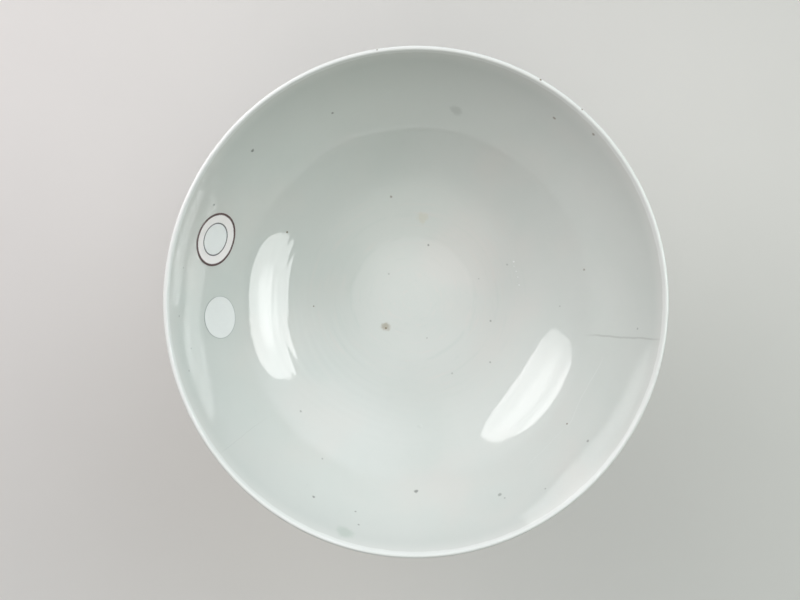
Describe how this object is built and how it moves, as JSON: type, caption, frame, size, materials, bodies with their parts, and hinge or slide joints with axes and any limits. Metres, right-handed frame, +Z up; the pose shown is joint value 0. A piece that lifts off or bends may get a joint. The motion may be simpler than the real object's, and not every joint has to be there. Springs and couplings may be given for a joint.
{
  "type": "stem bowl",
  "caption": "Wide round porcelain bowl with a thin rounded lip on a tall hollow splayed stem, glazed pale grey-green white, with small round paper stickers inside.",
  "frame": {"origin": "centre of the foot ring, on the plane it stands on", "axes": "+Z up along the turning axis; the stickers lie towards -X"},
  "size_m": [0.17, 0.17, 0.1094],
  "materials": {
    "bowl_glaze": "clear pale grey-green glaze over white porcelain, glossy",
    "slip_glaze": "same glaze, pooled a little thicker, glossy",
    "stem_glaze": "same glaze, glossy, with a bare matt foot ring",
    "ringed_paper": "matt white paper with thin brown-red rings",
    "plain_paper": "smooth pale grey-white paper"
  },
  "bodies": {
    "root": {"bowl": "bowl_glaze", "luting_slip": "slip_glaze", "stem": "stem_glaze", "ringed_sticker": "ringed_paper", "plain_sticker": "plain_paper"}
  },
  "joints": []
}
